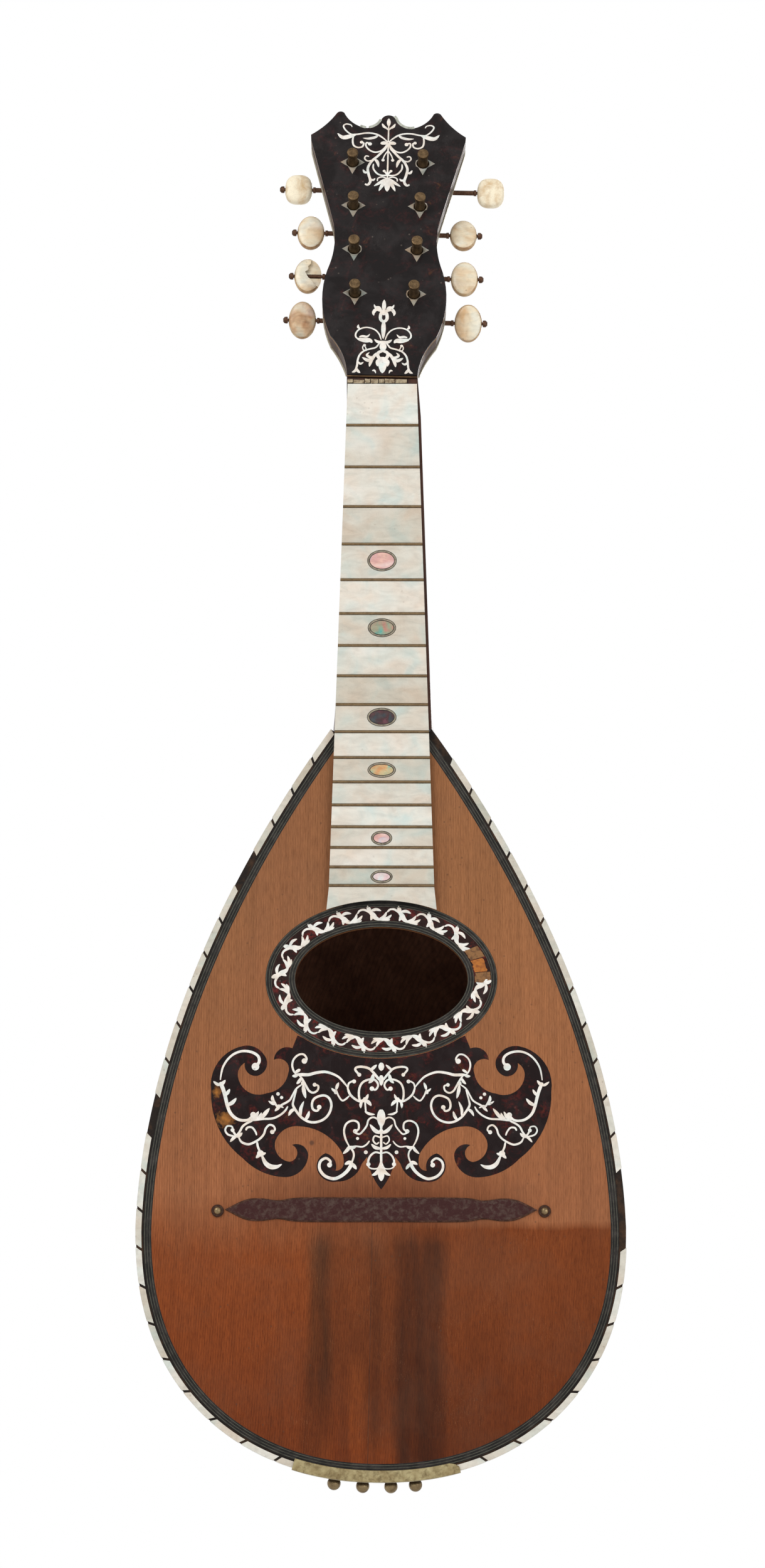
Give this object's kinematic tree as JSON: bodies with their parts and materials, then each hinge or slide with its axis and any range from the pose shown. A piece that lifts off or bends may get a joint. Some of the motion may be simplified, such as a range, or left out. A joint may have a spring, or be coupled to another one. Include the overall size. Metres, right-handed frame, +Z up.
{
  "type": "bowl-back mandolin",
  "caption": "Bowl-back mandolin: staved bowl, canted soundboard with oval hole and inlays, pearl edging, pearl-faced fingerboard and worm-geared tuners, unstrung.",
  "frame": {"origin": "on the neck's front face, in the middle of the slot that the nut sat in", "axes": "+Z up the neck to the head, -Y out of the soundboard, +X to the right of someone who looks at the soundboard"},
  "size_m": [0.188, 0.1454, 0.5666],
  "materials": {
    "rosewood": "glossy dark varnish over staves",
    "walnut": "dark stained, satin",
    "spruce": "aged varnish, satin",
    "inside_wood": "bare",
    "black_wood": "blackened, satin",
    "tortoiseshell": "dark mottled shell, polished",
    "pearl": "iridescent shell, polished",
    "bone": "yellowed, polished",
    "nickel_silver": "tarnished",
    "steel": "rusted brown",
    "brass": "tarnished",
    "old_glue": "cracked, dull"
  },
  "bodies": {
    "instrument": {"bowl": "rosewood", "tail_cap": "walnut", "rim_lining": "inside_wood", "neck_block": "inside_wood", "tail_block": "inside_wood", "pearl_edging": "pearl", "purfling": "black_wood", "soundboard": "spruce", "rosette": "tortoiseshell", "pickguard": "tortoiseshell", "brace_upper": "inside_wood", "brace_middle": "inside_wood", "brace_lower": "inside_wood", "bridge_footprint": "old_glue", "bridge_pin_left": "brass", "bridge_pin_right": "brass", "tail_plate": "nickel_silver", "hitch_pin_1": "brass", "hitch_pin_2": "brass", "hitch_pin_3": "brass", "hitch_pin_4": "brass", "neck": "rosewood", "fingerboard": "black_wood", "head_veneer": "tortoiseshell", "headstock": "walnut", "tuner_plate": "nickel_silver"},
    "tuning_shaft_left_1": {"worm_shaft_left_1": "steel", "button_left_1": "pearl"},
    "string_post_left_1": {"post_left_1": "brass", "gear_left_1": "brass"},
    "tuning_shaft_left_2": {"worm_shaft_left_2": "steel", "button_left_2": "pearl"},
    "string_post_left_2": {"post_left_2": "brass", "gear_left_2": "brass"},
    "tuning_shaft_left_3": {"worm_shaft_left_3": "steel", "button_left_3": "pearl"},
    "string_post_left_3": {"post_left_3": "brass", "gear_left_3": "brass"},
    "tuning_shaft_left_4": {"worm_shaft_left_4": "steel", "button_left_4": "bone"},
    "string_post_left_4": {"post_left_4": "brass", "gear_left_4": "brass"},
    "tuning_shaft_right_1": {"worm_shaft_right_1": "steel", "button_right_1": "pearl"},
    "string_post_right_1": {"post_right_1": "brass", "gear_right_1": "brass"},
    "tuning_shaft_right_2": {"worm_shaft_right_2": "steel", "button_right_2": "pearl"},
    "string_post_right_2": {"post_right_2": "brass", "gear_right_2": "brass"},
    "tuning_shaft_right_3": {"worm_shaft_right_3": "steel", "button_right_3": "pearl"},
    "string_post_right_3": {"post_right_3": "brass", "gear_right_3": "brass"},
    "tuning_shaft_right_4": {"worm_shaft_right_4": "steel", "button_right_4": "bone"},
    "string_post_right_4": {"post_right_4": "brass", "gear_right_4": "brass"}
  },
  "joints": [
    {"name": "shaft_turn_left_1", "type": "hinge", "parent": "instrument", "child": "tuning_shaft_left_1", "pos_m": [-0.01129, 0.01768, 0.03269], "axis": [0.9998, -0.0047, -0.0204], "continuous": true},
    {"name": "post_turn_left_1", "type": "hinge", "parent": "instrument", "child": "string_post_left_1", "pos_m": [-0.01118, 0.01893, 0.0381], "axis": [0, 0.9744, -0.225], "continuous": true},
    {"name": "shaft_turn_left_2", "type": "hinge", "parent": "instrument", "child": "tuning_shaft_left_2", "pos_m": [-0.0117, 0.02248, 0.05351], "axis": [0.9998, -0.0047, -0.0204], "continuous": true},
    {"name": "post_turn_left_2", "type": "hinge", "parent": "instrument", "child": "string_post_left_2", "pos_m": [-0.01158, 0.02373, 0.05892], "axis": [0, 0.9744, -0.225], "continuous": true},
    {"name": "shaft_turn_left_3", "type": "hinge", "parent": "instrument", "child": "tuning_shaft_left_3", "pos_m": [-0.0121, 0.02729, 0.07432], "axis": [0.9998, -0.0047, -0.0204], "continuous": true},
    {"name": "post_turn_left_3", "type": "hinge", "parent": "instrument", "child": "string_post_left_3", "pos_m": [-0.01198, 0.02854, 0.07973], "axis": [0, 0.9744, -0.225], "continuous": true},
    {"name": "shaft_turn_left_4", "type": "hinge", "parent": "instrument", "child": "tuning_shaft_left_4", "pos_m": [-0.0125, 0.0321, 0.09514], "axis": [0.9998, -0.0047, -0.0204], "continuous": true},
    {"name": "post_turn_left_4", "type": "hinge", "parent": "instrument", "child": "string_post_left_4", "pos_m": [-0.01239, 0.03334, 0.10055], "axis": [0, 0.9744, -0.225], "continuous": true},
    {"name": "shaft_turn_right_1", "type": "hinge", "parent": "instrument", "child": "tuning_shaft_right_1", "pos_m": [0.0127, 0.01757, 0.0322], "axis": [0.9998, -0.0047, -0.0204], "continuous": true},
    {"name": "post_turn_right_1", "type": "hinge", "parent": "instrument", "child": "string_post_right_1", "pos_m": [0.01282, 0.01881, 0.03761], "axis": [0, 0.9744, -0.225], "continuous": true},
    {"name": "shaft_turn_right_2", "type": "hinge", "parent": "instrument", "child": "tuning_shaft_right_2", "pos_m": [0.014, 0.02236, 0.05298], "axis": [0.9998, -0.0047, -0.0204], "continuous": true},
    {"name": "post_turn_right_2", "type": "hinge", "parent": "instrument", "child": "string_post_right_2", "pos_m": [0.01411, 0.02361, 0.05839], "axis": [0, 0.9744, -0.225], "continuous": true},
    {"name": "shaft_turn_right_3", "type": "hinge", "parent": "instrument", "child": "tuning_shaft_right_3", "pos_m": [0.01529, 0.02716, 0.07377], "axis": [0.9998, -0.0047, -0.0204], "continuous": true},
    {"name": "post_turn_right_3", "type": "hinge", "parent": "instrument", "child": "string_post_right_3", "pos_m": [0.01541, 0.02841, 0.07917], "axis": [0, 0.9744, -0.225], "continuous": true},
    {"name": "shaft_turn_right_4", "type": "hinge", "parent": "instrument", "child": "tuning_shaft_right_4", "pos_m": [0.01659, 0.03196, 0.09455], "axis": [0.9998, -0.0047, -0.0204], "continuous": true},
    {"name": "post_turn_right_4", "type": "hinge", "parent": "instrument", "child": "string_post_right_4", "pos_m": [0.01671, 0.03321, 0.09995], "axis": [0, 0.9744, -0.225], "continuous": true}
  ],
  "couplings": [
    {"joint": "post_turn_left_1", "follows": "shaft_turn_left_1", "ratio": 0.083333},
    {"joint": "post_turn_left_2", "follows": "shaft_turn_left_2", "ratio": 0.083333},
    {"joint": "post_turn_left_3", "follows": "shaft_turn_left_3", "ratio": 0.083333},
    {"joint": "post_turn_left_4", "follows": "shaft_turn_left_4", "ratio": 0.083333},
    {"joint": "post_turn_right_1", "follows": "shaft_turn_right_1", "ratio": 0.083333},
    {"joint": "post_turn_right_2", "follows": "shaft_turn_right_2", "ratio": 0.083333},
    {"joint": "post_turn_right_3", "follows": "shaft_turn_right_3", "ratio": 0.083333},
    {"joint": "post_turn_right_4", "follows": "shaft_turn_right_4", "ratio": 0.083333}
  ]
}
